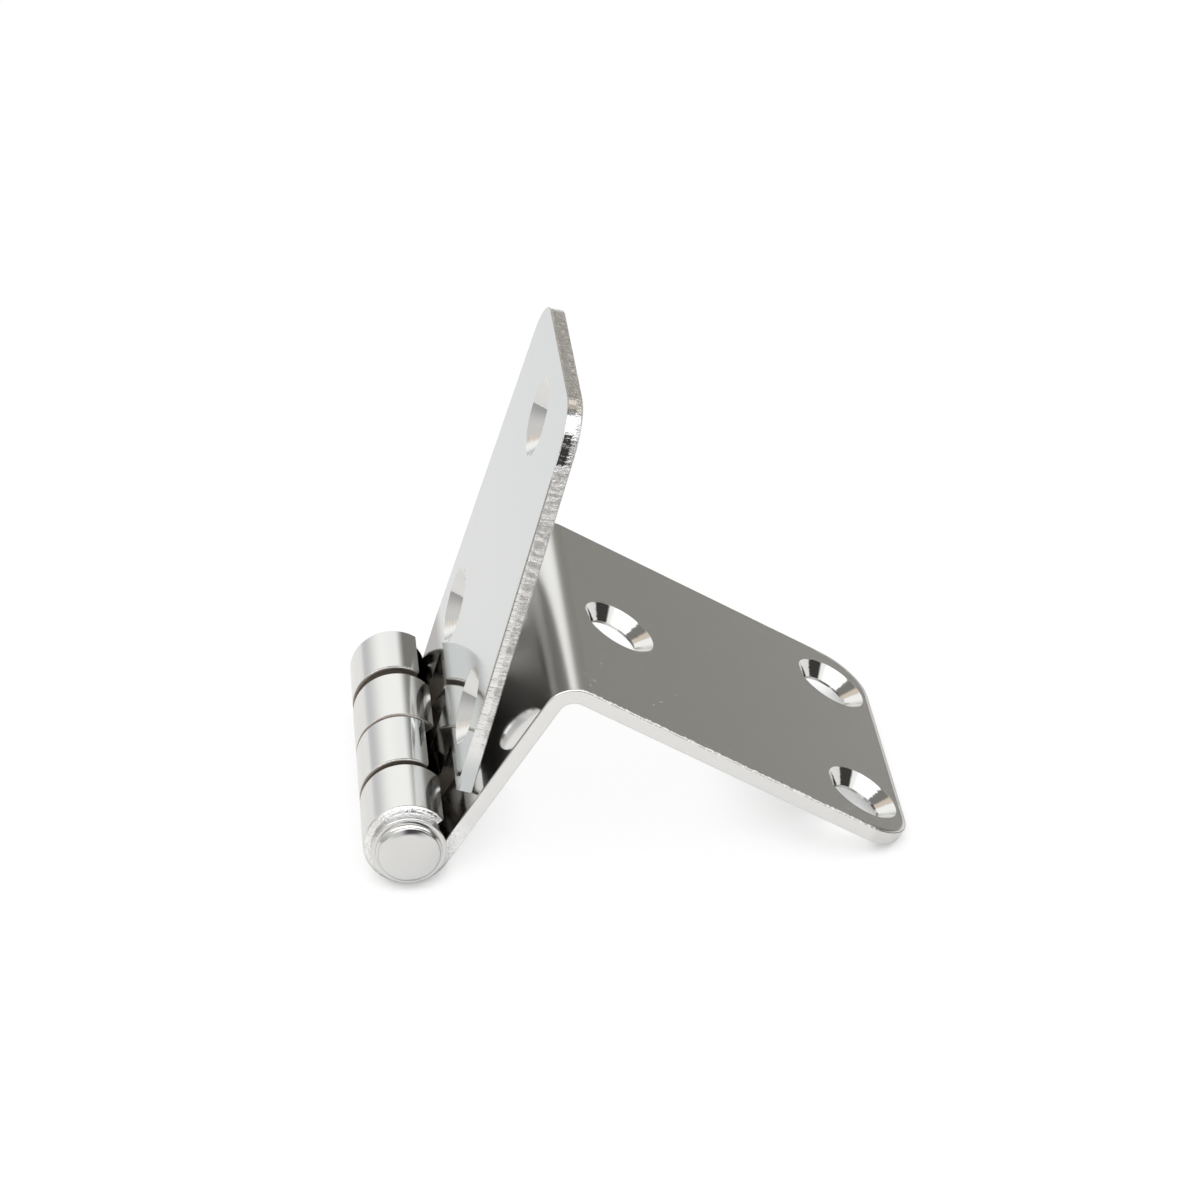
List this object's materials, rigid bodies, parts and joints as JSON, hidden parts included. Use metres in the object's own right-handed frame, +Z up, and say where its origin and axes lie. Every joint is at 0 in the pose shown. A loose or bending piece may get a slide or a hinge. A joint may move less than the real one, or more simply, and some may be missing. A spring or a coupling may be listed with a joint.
{
  "type": "offset hinge",
  "caption": "Polished stainless offset hinge: a flat leaf and a leaf cranked through a near right angle, both rolled onto one headed pin, with countersunk screw holes.",
  "frame": {"origin": "on the surface that the hinge stands on, under the middle of its box, as it stands in the picture on its barrel and on the cranked leaf's free end", "axes": "+Z up; +Y along the pin from its head to its tail; +X from the barrel towards the cranked leaf's free end"},
  "size_m": [0.0613, 0.0428, 0.0547],
  "materials": {
    "offset_leaf_steel": "polished",
    "flat_leaf_steel": "mirror polished",
    "pin_steel": "polished"
  },
  "bodies": {
    "offset_leaf_and_pin": {"offset_leaf": "offset_leaf_steel", "hinge_pin": "pin_steel"},
    "flat_leaf": {"flat_leaf": "flat_leaf_steel"}
  },
  "joints": [
    {"name": "hinge_swing", "type": "hinge", "parent": "offset_leaf_and_pin", "child": "flat_leaf", "pos_m": [-0.02574, 0.0006, 0.005], "axis": [0, -1, 0], "range_deg": [0, 286]}
  ]
}
